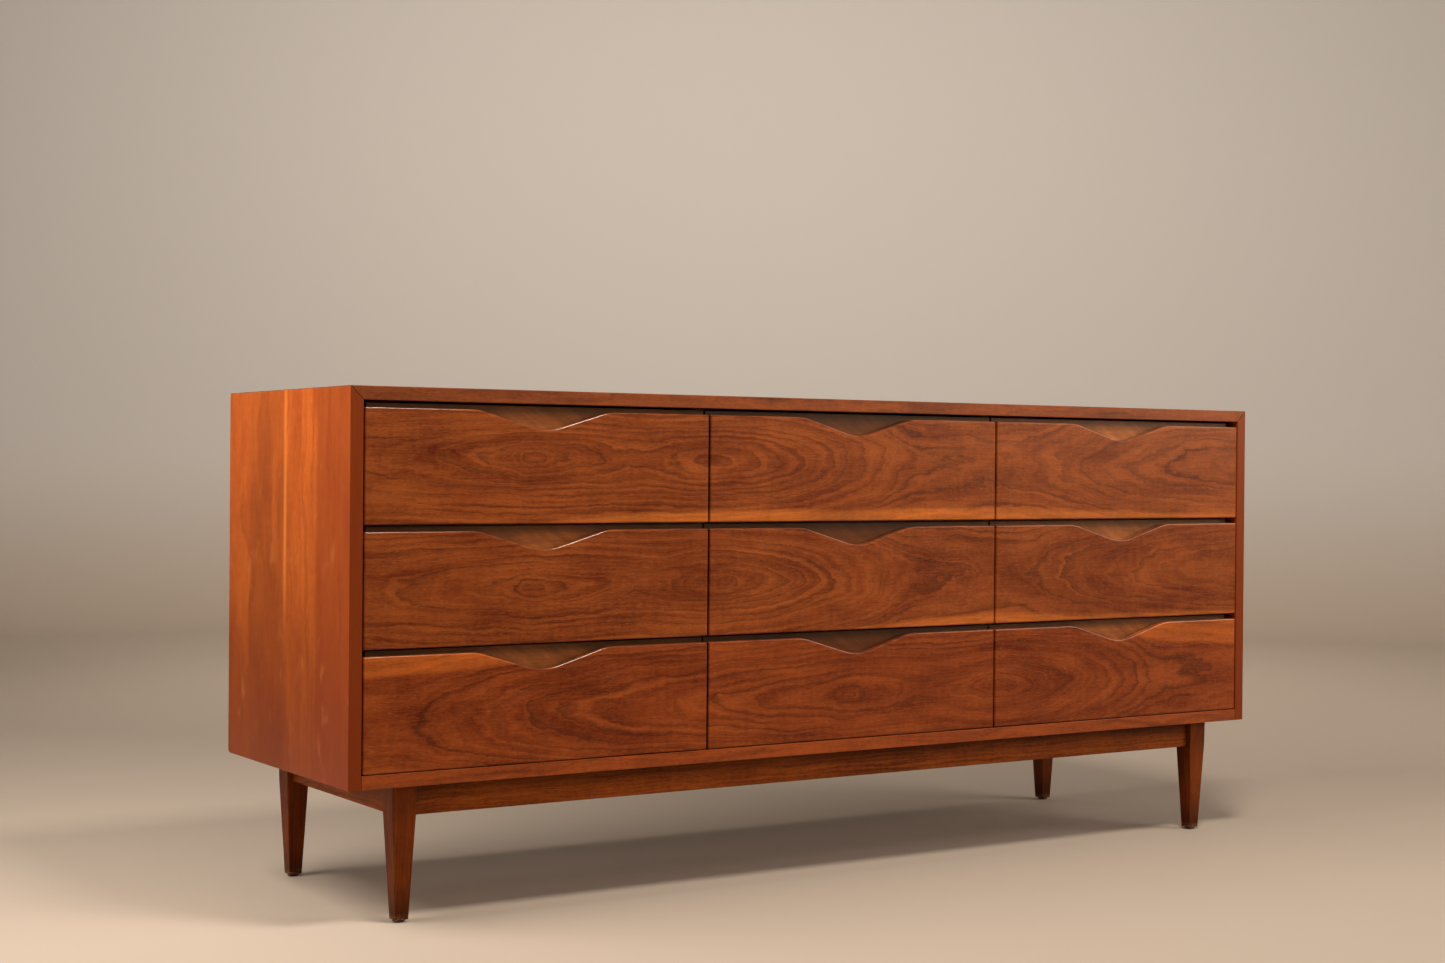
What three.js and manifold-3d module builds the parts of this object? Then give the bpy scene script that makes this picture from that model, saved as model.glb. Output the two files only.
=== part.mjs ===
// A nine-drawer dresser in walnut: a mitred case on an apron frame with four tapered legs, and
// three columns of three wooden drawers that slide forwards on centre runners.
//
// Millimetres. +Z is up, the drawers face -Y and +X is to the right of someone who faces them.
// The origin is on the floor, under the centre of the case.

import * as THREE from 'three';
import { mergeVertices } from 'three/addons/utils/BufferGeometryUtils.js';
import Module from 'manifold-3d';

const wasm = await Module();
wasm.setup();

// ---------------------------------------------------------------- driving dimensions

const WIDTH = 1778;
const DEPTH = 482;
const HEIGHT = 772;
const BASE_HEIGHT = 200; // from the floor to the underside of the case
const BOARD = 20; // thickness of the top, the sides and the bottom
const JOINT_GAP = 0.3; // left between two pieces that touch

const REBATE_WIDTH = 10; // the step round the back of the case that holds the back panel
const REBATE_DEPTH = 13;
const BACK_PANEL = 5;
const BACK_CORNER_RADIUS = 7; // the sides' lower back corners are eased

const FRAME_SETBACK = 30; // from the case's front plane to the rails and dividers
const DIVIDER = 19;
const RAIL_HEIGHT = 16;
const RAIL_DEPTH = 60;
const RAIL_LIFT = 2; // from a face's lower edge up to the rail behind it
const RUNNER_WIDTH = 32;
const RUNNER_HEIGHT = 12;

const ROW_NAMES = ['bottom', 'middle', 'top'];
const COLUMN_NAMES = ['left', 'centre', 'right'];
const FACE_HEIGHT = 167;
const FACE_THICKNESS = 17;
const ROW_GAP = 10; // above each face
const SILL_GAP = 1; // under the lowest faces
const COLUMN_GAP = 3; // between two faces side by side
const SIDE_GAP = 2; // between a face and the case's side

const PULL_HALF_WIDTH = 122; // the wave cut into a face's top edge
const PULL_FLOOR_RADIUS = 95;
const PULL_SHOULDER_RADIUS = 90;
const PULL_SLOPE = THREE.MathUtils.degToRad(16.5);
const HOLLOW_HALF_WIDTH = 105; // the finger hollow behind the wave
const HOLLOW_FLOOR_RADIUS = 62;
const HOLLOW_SHOULDER_RADIUS = 20;
const HOLLOW_SLOPE = THREE.MathUtils.degToRad(28);
const HOLLOW_DEPTH = 5;

const LIP_THICKNESS = 12; // the drawer's inner front, which stands above the face
const LIP_RISE = 7;
const LIP_SIDE_CLEARANCE = 11; // beside the case's side
const BOX_WIDTH = 552;
const BOX_HEIGHT = 157;
const BOX_BOARD = 12;
const BOX_REACH = 455; // from the face's front to the back of the box
const BOX_CLEARANCE = 1; // between the box and the rail or board under it
const PANEL_THICKNESS = 5; // the drawer's bottom
const PANEL_LIFT = 14; // from the underside of the box to the panel
const PANEL_GROOVE = 6;
const GUIDE_WIDTH = 14; // the two strips under the panel that follow the runner
const GUIDE_HEIGHT = 10;
const GUIDE_CLEARANCE = 1;

const LEG_TOP = 38;
const LEG_AT_APRON = 36.5; // the leg's width where the apron ends
const LEG_FOOT = 21;
const LEG_CORNER_RADIUS = 2;
const LEG_INSET_X = 77; // from the case's outer faces to the legs' outer faces
const LEG_INSET_Y = 19;
const APRON_HEIGHT = 46;
const APRON_THICKNESS = 20;
const APRON_SETBACK = 10; // from the legs' outer faces
const GLIDE_HEIGHT = 4;
const GLIDE_RADIUS = 9;
const GLIDE_EDGE = 2; // how far the glide's rounded lower edge reaches in and up

// ---------------------------------------------------------------- places worked out from them

const FRONT = -DEPTH / 2;
const BACK = DEPTH / 2;
const SIDE_INNER = WIDTH / 2 - BOARD;
const FLOOR_OF_CASE = BASE_HEIGHT + BOARD;
const CEILING_OF_CASE = HEIGHT - BOARD;
const FRAME_FRONT = FRONT + FRAME_SETBACK;
const FRAME_BACK = BACK - REBATE_DEPTH;
const COLUMN_PITCH = (2 * SIDE_INNER) / COLUMN_NAMES.length;
const ROW_PITCH = FACE_HEIGHT + ROW_GAP;
const LIP_FRONT = FRONT + FACE_THICKNESS + JOINT_GAP;
const LIP_BACK = LIP_FRONT + LIP_THICKNESS;
const LEG_X = WIDTH / 2 - LEG_INSET_X - LEG_TOP / 2;
const LEG_Y = DEPTH / 2 - LEG_INSET_Y - LEG_TOP / 2;
const APRON_BOTTOM = BASE_HEIGHT - APRON_HEIGHT;

const columns = COLUMN_NAMES.map((name, index) => ({
	name,
	centre: (index - 1) * COLUMN_PITCH,
}));

const rows = ROW_NAMES.map((name, index) => {
	const faceBottom = FLOOR_OF_CASE + SILL_GAP + index * ROW_PITCH;
	const support = index === 0 ? FLOOR_OF_CASE : faceBottom + RAIL_LIFT;
	return { name, faceBottom, faceTop: faceBottom + FACE_HEIGHT, support };
});

// ---------------------------------------------------------------- materials

function finish(color, roughness, metalness = 0) {
	return () => new THREE.MeshStandardMaterial({ color, roughness, metalness });
}

const walnutCase = finish(0x8a4b2a, 0.38);
const walnutFace = finish(0x6f3a26, 0.4);
const walnutBase = finish(0x4c2a1c, 0.45);
const innerWood = finish(0x7b6238, 0.55);
const frameWood = finish(0x9a7a4e, 0.7);
const plainPanel = finish(0x8d6f4a, 0.75);
const darkGlide = finish(0x2b2a28, 0.5);

// ---------------------------------------------------------------- shapes

const AXIS_X = new THREE.Vector3(1, 0, 0);
const AXIS_Y = new THREE.Vector3(0, 1, 0);
const AXIS_Z = new THREE.Vector3(0, 0, 1);

// The outline's plane for each direction: y-z along x, x-z along y and x-y along z.
const OUTLINE_FRAMES = {
	x: new THREE.Matrix4().makeBasis(AXIS_Y, AXIS_Z, AXIS_X),
	y: new THREE.Matrix4().makeBasis(AXIS_X, AXIS_Z, AXIS_Y.clone().negate()),
	z: new THREE.Matrix4(),
};

function prism(axis, outline, from, to, curveSegments = 8) {
	const settings = { depth: to - from, bevelEnabled: false, curveSegments };
	const geometry = new THREE.ExtrudeGeometry(outline, settings);
	geometry.translate(0, 0, axis === 'y' ? -to : from);
	return geometry.applyMatrix4(OUTLINE_FRAMES[axis]);
}

function polygon(points) {
	return new THREE.Shape(points.map(([u, v]) => new THREE.Vector2(u, v)));
}

function box([x0, x1], [y0, y1], [z0, z1]) {
	const geometry = new THREE.BoxGeometry(x1 - x0, y1 - y0, z1 - z0);
	return geometry.translate((x0 + x1) / 2, (y0 + y1) / 2, (z0 + z1) / 2);
}

function solid(geometry) {
	const bare = geometry.clone();
	bare.deleteAttribute('normal');
	bare.deleteAttribute('uv');
	const merged = mergeVertices(bare, 1e-4);
	const mesh = new wasm.Mesh({
		numProp: 3,
		vertProperties: new Float32Array(merged.getAttribute('position').array),
		triVerts: new Uint32Array(merged.index.array),
	});
	return new wasm.Manifold(mesh);
}

function geometryOf(shape) {
	const { vertProperties, triVerts } = shape.getMesh();
	const geometry = new THREE.BufferGeometry();
	geometry.setAttribute('position', new THREE.BufferAttribute(vertProperties, 3));
	geometry.setIndex(new THREE.BufferAttribute(triVerts, 1));
	geometry.computeVertexNormals();
	return geometry;
}

function joined(first, ...others) {
	return others.reduce((whole, other) => whole.add(solid(other)), solid(first));
}

function cut(whole, ...tools) {
	return tools.reduce((left, tool) => left.subtract(solid(tool)), whole);
}

// ---------------------------------------------------------------- assembly helpers

const dresser = new THREE.Group();

function add(name, geometry, material, parent = dresser) {
	const mesh = new THREE.Mesh(geometry, material());
	mesh.name = name;
	parent.add(mesh);
	return mesh;
}

function mirrored([from, to]) {
	return [-to, -from];
}

// ---------------------------------------------------------------- the case

// The step for the back panel, cut round the inside of the case's back edges.
function rebate() {
	const reach = SIDE_INNER + REBATE_WIDTH;
	const low = FLOOR_OF_CASE - REBATE_WIDTH;
	const high = CEILING_OF_CASE + REBATE_WIDTH;
	return box([-reach, reach], [FRAME_BACK, BACK + 1], [low, high]);
}

function topBoard() {
	const half = WIDTH / 2;
	const outline = polygon([
		[-half, HEIGHT],
		[-SIDE_INNER, CEILING_OF_CASE],
		[SIDE_INNER, CEILING_OF_CASE],
		[half, HEIGHT],
	]);
	return cut(solid(prism('y', outline, FRONT, BACK)), rebate());
}

// The sides meet the top in mitres, and run down past the bottom board's ends.
function sideBoard(hand) {
	const outer = WIDTH / 2;
	const mitreGap = JOINT_GAP * Math.SQRT2;
	const lower = BASE_HEIGHT;
	const radius = BACK_CORNER_RADIUS;
	const profile = new THREE.Shape();
	profile.moveTo(FRONT, lower);
	profile.lineTo(BACK - radius, lower);
	profile.absarc(BACK - radius, lower + radius, radius, -Math.PI / 2, 0);
	profile.lineTo(BACK, HEIGHT);
	profile.lineTo(FRONT, HEIGHT);
	const [x0, x1] = hand < 0 ? [-outer, -SIDE_INNER] : [SIDE_INNER, outer];
	const mitre = polygon([
		[hand * (outer + 1), HEIGHT + 1 - mitreGap],
		[hand * (outer + 1), HEIGHT + BOARD],
		[hand * (SIDE_INNER - 1), HEIGHT + BOARD],
		[hand * (SIDE_INNER - 1), CEILING_OF_CASE - 1 - mitreGap],
	]);
	return cut(solid(prism('x', profile, x0, x1)), prism('y', mitre, FRONT - 1, BACK + 1), rebate());
}

function bottomBoard() {
	const half = SIDE_INNER - JOINT_GAP;
	const board = box([-half, half], [FRONT, BACK], [BASE_HEIGHT, FLOOR_OF_CASE]);
	return cut(solid(board), rebate());
}

function backPanel() {
	const reach = SIDE_INNER + REBATE_WIDTH - JOINT_GAP;
	const low = FLOOR_OF_CASE - REBATE_WIDTH + JOINT_GAP;
	const high = CEILING_OF_CASE + REBATE_WIDTH - JOINT_GAP;
	const near = FRAME_BACK + JOINT_GAP;
	return box([-reach, reach], [near, near + BACK_PANEL], [low, high]);
}

const railRows = rows.slice(1);
const railDepths = {
	front: [FRAME_FRONT, FRAME_FRONT + RAIL_DEPTH],
	back: [FRAME_BACK - JOINT_GAP - RAIL_DEPTH, FRAME_BACK - JOINT_GAP],
};

// A divider stands between two columns and is notched for the rails that pass through it.
function divider(centre) {
	const width = [centre - DIVIDER / 2, centre + DIVIDER / 2];
	const opening = [centre - DIVIDER, centre + DIVIDER];
	const height = [FLOOR_OF_CASE + JOINT_GAP, CEILING_OF_CASE - JOINT_GAP];
	const board = box(width, [FRAME_FRONT, FRAME_BACK - JOINT_GAP], height);
	const [, frontEnd] = railDepths.front;
	const [backStart] = railDepths.back;
	const notches = railRows.flatMap(({ support }) => {
		const notch = [support - RAIL_HEIGHT - JOINT_GAP, support + JOINT_GAP];
		return [
			box(opening, [FRAME_FRONT - 1, frontEnd + JOINT_GAP], notch),
			box(opening, [backStart - JOINT_GAP, FRAME_BACK + 1], notch),
		];
	});
	return cut(solid(board), ...notches);
}

add('top_board', geometryOf(topBoard()), walnutCase);
add('side_left', geometryOf(sideBoard(-1)), walnutCase);
add('side_right', geometryOf(sideBoard(1)), walnutCase);
add('bottom_board', geometryOf(bottomBoard()), walnutCase);
add('back_panel', backPanel(), plainPanel);
add('divider_left', geometryOf(divider(-COLUMN_PITCH / 2)), frameWood);
add('divider_right', geometryOf(divider(COLUMN_PITCH / 2)), frameWood);

for (const { name, support } of railRows) {
	for (const [end, depth] of Object.entries(railDepths)) {
		const half = SIDE_INNER - JOINT_GAP;
		const rail = box([-half, half], depth, [support - RAIL_HEIGHT, support]);
		add(`rail_${end}_${name}`, rail, frameWood);
	}
}

for (const row of rows) {
	for (const column of columns) {
		const half = RUNNER_WIDTH / 2;
		const width = [column.centre - half, column.centre + half];
		const height = [row.support + JOINT_GAP, row.support + RUNNER_HEIGHT];
		const runner = box(width, [FRAME_FRONT, FRAME_BACK - JOINT_GAP], height);
		add(`runner_${row.name}_${column.name}`, runner, frameWood);
	}
}

// ---------------------------------------------------------------- the base

// Half the leg's width at a height: a slight taper beside the apron and a strong one below it.
function legHalfWidth(z) {
	if (z >= APRON_BOTTOM) {
		const share = (BASE_HEIGHT - z) / APRON_HEIGHT;
		return THREE.MathUtils.lerp(LEG_TOP, LEG_AT_APRON, share) / 2;
	}
	const share = (APRON_BOTTOM - z) / (APRON_BOTTOM - GLIDE_HEIGHT);
	return THREE.MathUtils.lerp(LEG_AT_APRON, LEG_FOOT, share) / 2;
}

function roundedSquare(half, radius) {
	const shape = new THREE.Shape();
	const inner = half - radius;
	shape.moveTo(half, -inner);
	shape.absarc(inner, inner, radius, 0, Math.PI / 2);
	shape.absarc(-inner, inner, radius, Math.PI / 2, Math.PI);
	shape.absarc(-inner, -inner, radius, Math.PI, 1.5 * Math.PI);
	shape.absarc(inner, -inner, radius, 1.5 * Math.PI, 2 * Math.PI);
	return shape;
}

// One stretch of a leg, narrowed from its upper to its lower section.
function legStretch(low, high) {
	const half = legHalfWidth(high);
	const geometry = prism('z', roundedSquare(half, LEG_CORNER_RADIUS), low, high, 4);
	const position = geometry.getAttribute('position');
	const share = legHalfWidth(low) / half;
	for (let i = 0; i < position.count; i += 1) {
		if (position.getZ(i) < (low + high) / 2) {
			position.setXY(i, position.getX(i) * share, position.getY(i) * share);
		}
	}
	return geometry;
}

function leg() {
	const top = BASE_HEIGHT - JOINT_GAP;
	return joined(legStretch(APRON_BOTTOM, top), legStretch(GLIDE_HEIGHT, APRON_BOTTOM));
}

function glide() {
	const profile = new THREE.Path();
	profile.moveTo(0, 0);
	profile.lineTo(GLIDE_RADIUS - GLIDE_EDGE, 0);
	profile.absarc(GLIDE_RADIUS - GLIDE_EDGE, GLIDE_EDGE, GLIDE_EDGE, -Math.PI / 2, 0);
	profile.lineTo(GLIDE_RADIUS, GLIDE_HEIGHT - JOINT_GAP);
	profile.lineTo(0, GLIDE_HEIGHT - JOINT_GAP);
	return new THREE.LatheGeometry(profile.getPoints(4), 24).rotateX(Math.PI / 2);
}

// An apron fits between two legs, with its ends cut to the legs' taper. It runs along +X here,
// and its outer face is at y = 0.
function apron(distance) {
	const top = BASE_HEIGHT - JOINT_GAP;
	const endAt = (z) => distance / 2 - legHalfWidth(z) - JOINT_GAP;
	const outline = polygon([
		[-endAt(APRON_BOTTOM), APRON_BOTTOM],
		[endAt(APRON_BOTTOM), APRON_BOTTOM],
		[endAt(top), top],
		[-endAt(top), top],
	]);
	return prism('y', outline, 0, APRON_THICKNESS);
}

for (const [end, sideY] of [['front', -1], ['back', 1]]) {
	for (const [hand, sideX] of [['left', -1], ['right', 1]]) {
		const post = add(`leg_${end}_${hand}`, geometryOf(leg()), walnutBase);
		post.position.set(sideX * LEG_X, sideY * LEG_Y, 0);
		const foot = add(`glide_${end}_${hand}`, glide(), darkGlide);
		foot.position.set(sideX * LEG_X, sideY * LEG_Y, 0);
	}
}

const apronFace = LEG_TOP / 2 - APRON_SETBACK;
const apronPlaces = [
	['front', 2 * LEG_X, 0, -(LEG_Y + apronFace), 0],
	['right', 2 * LEG_Y, LEG_X + apronFace, 0, Math.PI / 2],
	['back', 2 * LEG_X, 0, LEG_Y + apronFace, Math.PI],
	['left', 2 * LEG_Y, -(LEG_X + apronFace), 0, -Math.PI / 2],
];
for (const [name, distance, x, y, turn] of apronPlaces) {
	const board = add(`apron_${name}`, apron(distance), walnutBase);
	board.position.set(x, y, 0);
	board.rotation.z = turn;
}

// ---------------------------------------------------------------- the drawers

// The area taken away by a wave cut: a round floor, two straight slopes and two round shoulders.
// Its centre is at x = 0, and the uncut edge is at z = 0. The area is closed above that edge.
function waveCut(halfWidth, floorRadius, shoulderRadius, slope) {
	const rise = (floorRadius + shoulderRadius) * (1 - Math.cos(slope));
	const arcsRun = (floorRadius + shoulderRadius) * Math.sin(slope);
	const depth = rise + (halfWidth - arcsRun) * Math.tan(slope);
	const shape = new THREE.Shape();
	const down = -Math.PI / 2;
	shape.moveTo(-halfWidth, ROW_GAP);
	shape.lineTo(-halfWidth, 0);
	shape.absarc(-halfWidth, -shoulderRadius, shoulderRadius, -down, -down - slope, true);
	shape.absarc(0, floorRadius - depth, floorRadius, down - slope, down + slope);
	shape.absarc(halfWidth, -shoulderRadius, shoulderRadius, -down + slope, -down, true);
	shape.lineTo(halfWidth, ROW_GAP);
	return shape;
}

// A face centred on x = 0, with its lower edge at z = 0.
function face(width) {
	const board = box([-width / 2, width / 2], [FRONT, FRONT + FACE_THICKNESS], [0, FACE_HEIGHT]);
	const pull = prism(
		'y',
		waveCut(PULL_HALF_WIDTH, PULL_FLOOR_RADIUS, PULL_SHOULDER_RADIUS, PULL_SLOPE),
		FRONT - 1,
		FRONT + FACE_THICKNESS + 1,
		16,
	);
	const hollow = prism(
		'y',
		waveCut(HOLLOW_HALF_WIDTH, HOLLOW_FLOOR_RADIUS, HOLLOW_SHOULDER_RADIUS, HOLLOW_SLOPE),
		FRONT + FACE_THICKNESS - HOLLOW_DEPTH,
		FRONT + FACE_THICKNESS + 1,
		8,
	);
	pull.translate(0, 0, FACE_HEIGHT);
	hollow.translate(0, 0, FACE_HEIGHT);
	return cut(solid(board), pull, hollow);
}

// The drawer's bottom panel and how far it reaches into the grooves, about x = 0.
function panelReach(support) {
	const half = BOX_WIDTH / 2 - BOX_BOARD + PANEL_GROOVE;
	const low = support + BOX_CLEARANCE + PANEL_LIFT;
	return {
		width: [-half, half],
		depth: [LIP_BACK - PANEL_GROOVE, FRONT + BOX_REACH],
		height: [low, low + PANEL_THICKNESS],
	};
}

// The inner front, the two sides and the back, with the groove for the panel. The back stands on
// the panel. The inner front is wider than the box, and its two ends are given.
function boxWalls(support, faceTop, lipEnds) {
	const low = support + BOX_CLEARANCE;
	const high = low + BOX_HEIGHT;
	const rear = FRONT + BOX_REACH;
	const outer = [BOX_WIDTH / 2 - BOX_BOARD, BOX_WIDTH / 2];
	const overlap = 1;
	const lip = box(lipEnds, [LIP_FRONT, LIP_BACK], [low, faceTop + LIP_RISE]);
	const right = box(outer, [LIP_BACK - overlap, rear], [low, high]);
	const left = box(mirrored(outer), [LIP_BACK - overlap, rear], [low, high]);
	const panel = panelReach(support);
	const backHeight = [panel.height[1] + JOINT_GAP, high];
	const between = [-BOX_WIDTH / 2 + overlap, BOX_WIDTH / 2 - overlap];
	const back = box(between, [rear - BOX_BOARD, rear], backHeight);
	const widened = ([from, to]) => [from - JOINT_GAP, to + JOINT_GAP];
	const groove = box(widened(panel.width), widened(panel.depth), widened(panel.height));
	return cut(joined(lip, right, left, back), groove);
}

function panelWithGuides(support) {
	const { width, depth, height } = panelReach(support);
	const panel = box(width, depth, height);
	const inner = RUNNER_WIDTH / 2 + GUIDE_CLEARANCE;
	const strip = [inner, inner + GUIDE_WIDTH];
	const overlap = 1;
	const drop = [height[0] - GUIDE_HEIGHT, height[0] + overlap];
	const length = [LIP_BACK + JOINT_GAP, depth[1]];
	return joined(panel, box(strip, length, drop), box(mirrored(strip), length, drop));
}

for (const row of rows) {
	for (const column of columns) {
		const drawer = new THREE.Group();
		const isLeft = column.name === 'left';
		const isRight = column.name === 'right';
		const faceStart = -COLUMN_PITCH / 2 + (isLeft ? SIDE_GAP : COLUMN_GAP / 2);
		const faceEnd = COLUMN_PITCH / 2 - (isRight ? SIDE_GAP : COLUMN_GAP / 2);
		const lipStart = -COLUMN_PITCH / 2 + (isLeft ? LIP_SIDE_CLEARANCE : COLUMN_GAP / 2);
		const lipEnd = COLUMN_PITCH / 2 - (isRight ? LIP_SIDE_CLEARANCE : COLUMN_GAP / 2);
		const place = `${row.name}_${column.name}`;
		const lid = add(`face_${place}`, geometryOf(face(faceEnd - faceStart)), walnutFace, drawer);
		lid.position.set((faceStart + faceEnd) / 2, 0, row.faceBottom);
		const walls = boxWalls(row.support, row.faceTop, [lipStart, lipEnd]);
		add(`box_${place}`, geometryOf(walls), innerWood, drawer);
		add(`panel_${place}`, geometryOf(panelWithGuides(row.support)), plainPanel, drawer);
		drawer.position.x = column.centre;
		dresser.add(drawer);
	}
}

export default dresser;
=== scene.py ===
"""A nine-drawer walnut dresser: camera, light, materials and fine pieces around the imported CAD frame.

Metres, +Z up, drawers facing -Y, origin on the floor under the centre of the case. Wood textures
are worked out in millimetres from object coordinates, so the grain stays on a board that moves.
"""

import math

import bmesh
import bpy
from mathutils import Matrix, Vector


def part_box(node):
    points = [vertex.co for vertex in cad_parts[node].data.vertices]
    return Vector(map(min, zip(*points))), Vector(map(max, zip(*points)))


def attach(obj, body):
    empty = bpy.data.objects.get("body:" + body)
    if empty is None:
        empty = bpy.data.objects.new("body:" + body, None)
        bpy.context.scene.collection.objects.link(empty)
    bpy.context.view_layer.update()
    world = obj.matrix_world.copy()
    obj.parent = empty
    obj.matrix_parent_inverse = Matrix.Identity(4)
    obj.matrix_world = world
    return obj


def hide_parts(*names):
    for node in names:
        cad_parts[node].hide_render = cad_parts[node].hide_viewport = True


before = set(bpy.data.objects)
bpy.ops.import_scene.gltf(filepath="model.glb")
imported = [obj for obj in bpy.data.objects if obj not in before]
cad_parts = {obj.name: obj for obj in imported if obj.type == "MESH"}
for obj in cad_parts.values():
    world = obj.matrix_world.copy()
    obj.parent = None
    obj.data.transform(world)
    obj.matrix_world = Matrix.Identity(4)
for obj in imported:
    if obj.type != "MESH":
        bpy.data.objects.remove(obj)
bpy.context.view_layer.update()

MM = 0.001
ROWS = ("bottom", "middle", "top")
COLUMNS = ("left", "centre", "right")
ENDS = ("front", "back")
HANDS = ("left", "right")

# ---------------------------------------------------------------- places taken from the frame

CASE_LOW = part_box("side_left")[0]
STRIP_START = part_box("face_top_left")[0].x
STRIP_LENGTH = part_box("face_top_right")[1].x - STRIP_START


# ---------------------------------------------------------------- camera

def add_camera():
    """The photograph's viewpoint: low, in front and to the left, with a slight roll."""
    place = Vector((-2.0878, -3.0531, 0.6605))
    yaw, pitch, roll = (math.radians(a) for a in (-32.94, -0.381, 0.454))
    ahead = Vector((-math.sin(yaw), math.cos(yaw), 0))
    forward = ahead * math.cos(pitch) + Vector((0, 0, math.sin(pitch)))
    level = Vector((math.cos(yaw), math.sin(yaw), 0))
    upright = level.cross(forward)
    right = level * math.cos(roll) + upright * math.sin(roll)
    up = upright * math.cos(roll) - level * math.sin(roll)
    data = bpy.data.cameras.new("camera")
    data.sensor_width = 36
    data.lens = 53.42
    camera = bpy.data.objects.new("camera", data)
    turn = Matrix((right, up, -forward)).transposed().to_4x4()
    camera.matrix_world = Matrix.Translation(place) @ turn
    bpy.context.scene.collection.objects.link(camera)
    bpy.context.scene.camera = camera


# ---------------------------------------------------------------- light and floor

def add_area_light(name, place, target, size, power, colour):
    data = bpy.data.lights.new(name, "AREA")
    data.shape = "RECTANGLE"
    data.size, data.size_y = size
    data.energy = power
    data.color = colour
    light = bpy.data.objects.new(name, data)
    light.location = place
    aim = Vector(target) - Vector(place)
    light.rotation_euler = aim.to_track_quat("-Z", "Y").to_euler()
    light.visible_camera = False
    bpy.context.scene.collection.objects.link(light)


def add_light():
    warm = (1.0, 0.93, 0.84)
    add_area_light("key", (-1.75, 0.1, 1.75), (-0.85, 0, 0.6), (0.9, 0.9), 38, warm)
    add_area_light("front_right", (3.0, -2.3, 1.9), (0.6, 0, 0.5), (2.2, 2.0), 70, warm)
    add_area_light("front", (0.5, -4.0, 1.8), (0.2, 0, 0.4), (1.8, 1.4), 12, warm)
    add_area_light("overhead", (-0.1, -1.3, 2.7), (-0.1, -0.2, 0.4), (0.6, 0.45), 54, warm)
    add_area_light("low_left", (-3.4, -0.5, 0.7), (-0.9, 0, 0.2), (1.2, 0.8), 16, warm)
    add_area_light("backdrop", (1.2, 2.2, 2.9), (4.0, 5.2, 1.2), (2.4, 1.2), 96, warm)
    add_area_light("near_backdrop", (1.8, -2.6, 3.0), (4.4, -4.6, 1.2), (2.0, 1.0), 55, warm)
    add_area_light("rear", (-0.6, 3.0, 2.0), (0, 0, 0.4), (2.0, 1.2), 12, warm)
    world = bpy.data.worlds.new("studio")
    world.use_nodes = True
    background = world.node_tree.nodes["Background"]
    background.inputs["Color"].default_value = (0.56, 0.53, 0.5, 1)
    background.inputs["Strength"].default_value = 0.04
    bpy.context.scene.world = world
    bpy.context.scene.view_settings.view_transform = "Standard"


def add_floor():
    """A pale round floor that turns up into a wall, far enough out to stay behind every view."""
    radius, cove, height = 6.0, 0.9, 5.0
    steps, around = 10, 96
    profile = [(0.0, 0.0), (radius - cove, 0.0)]
    for i in range(1, steps + 1):
        angle = math.pi / 2 * i / steps
        profile.append((radius - cove + cove * math.sin(angle), cove - cove * math.cos(angle)))
    profile.append((radius, height))
    mesh = bmesh.new()
    path = [mesh.verts.new((r, 0, z)) for r, z in profile]
    for a, b in zip(path, path[1:]):
        mesh.edges.new((a, b))
    turned = mesh.verts[:] + mesh.edges[:]
    bmesh.ops.spin(mesh, geom=turned, axis=(0, 0, 1), cent=(0, 0, 0), angle=2 * math.pi, steps=around)
    bmesh.ops.remove_doubles(mesh, verts=mesh.verts, dist=1e-4)
    bmesh.ops.recalc_face_normals(mesh, faces=mesh.faces)
    bmesh.ops.reverse_faces(mesh, faces=mesh.faces)
    floor = new_object("studio_floor", mesh, smooth=True)
    graph = Graph("pale_floor")
    height_above = graph.place("X", "Z")[1]
    wall = graph.span(height_above, 0, 1000 * cove)
    colour = graph.mix(wall, (0.46, 0.375, 0.30, 1), (0.56, 0.52, 0.485, 1))
    graph.set(Base_Color=colour, Roughness=0.75)
    floor.data.materials.append(graph.material)


# ---------------------------------------------------------------- node trees

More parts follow.
